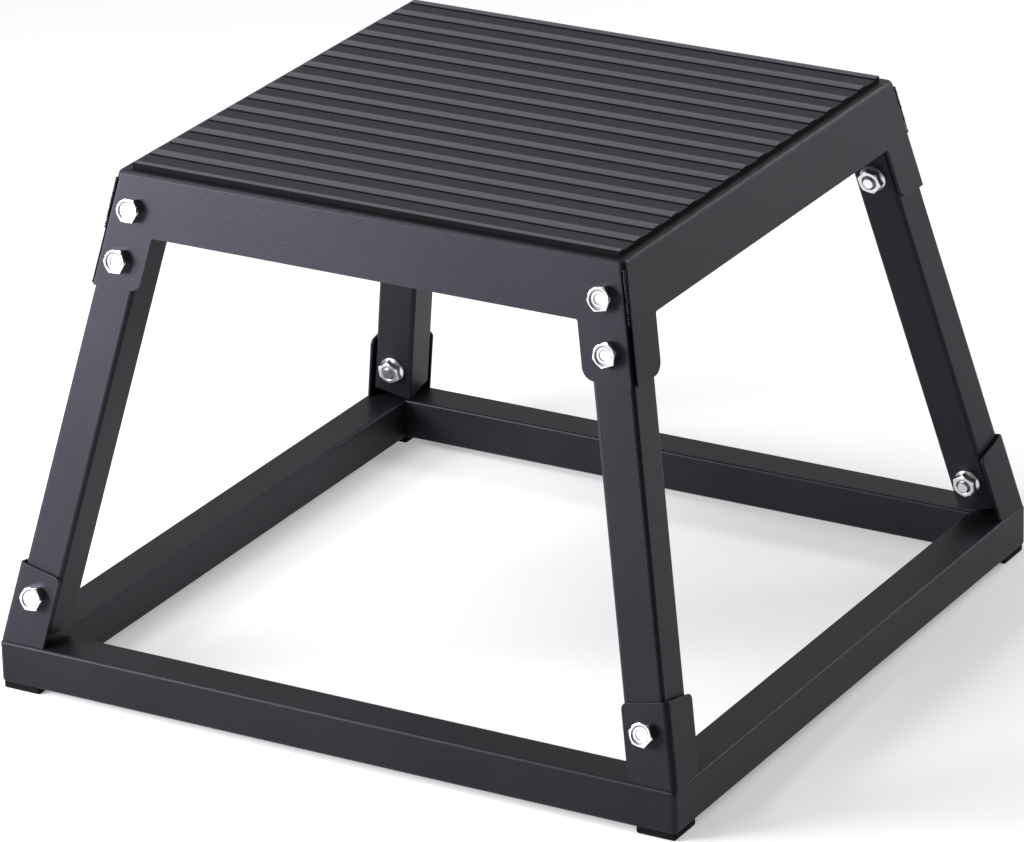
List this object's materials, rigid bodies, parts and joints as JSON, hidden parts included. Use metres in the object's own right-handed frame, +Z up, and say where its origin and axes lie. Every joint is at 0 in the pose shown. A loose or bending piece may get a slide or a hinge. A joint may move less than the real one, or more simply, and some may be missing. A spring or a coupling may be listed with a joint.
{
  "type": "plyo box",
  "caption": "Square plyo box: a rubber-topped folded steel step plate bolted to leaning square-tube legs on a welded tube floor frame with rubber feet.",
  "frame": {"origin": "on the floor, under the middle of the step", "axes": "+Z up, -Y towards the front, where the bolt heads are, +X to the right"},
  "size_m": [0.432, 0.432, 0.305],
  "materials": {
    "black_powder_coat": "satin black powder coat",
    "bright_zinc": "bright zinc plate",
    "rubber_mat": "ribbed, matt",
    "rubber_feet": "matt"
  },
  "bodies": {
    "root": {"step_plate": "black_powder_coat", "ribbed_mat": "rubber_mat", "leg_front_right": "black_powder_coat", "leg_front_left": "black_powder_coat", "leg_back_right": "black_powder_coat", "leg_back_left": "black_powder_coat", "base_bracket_front_right": "black_powder_coat", "base_bracket_front_left": "black_powder_coat", "base_bracket_back_right": "black_powder_coat", "base_bracket_back_left": "black_powder_coat", "base_tube_front": "black_powder_coat", "base_tube_right": "black_powder_coat", "base_tube_back": "black_powder_coat", "base_tube_left": "black_powder_coat", "rubber_foot_front_right": "rubber_feet", "rubber_foot_front_left": "rubber_feet", "rubber_foot_back_right": "rubber_feet", "rubber_foot_back_left": "rubber_feet", "step_bolts": "bright_zinc", "step_nuts": "bright_zinc", "base_bolts": "bright_zinc", "base_nuts": "bright_zinc"}
  },
  "joints": []
}
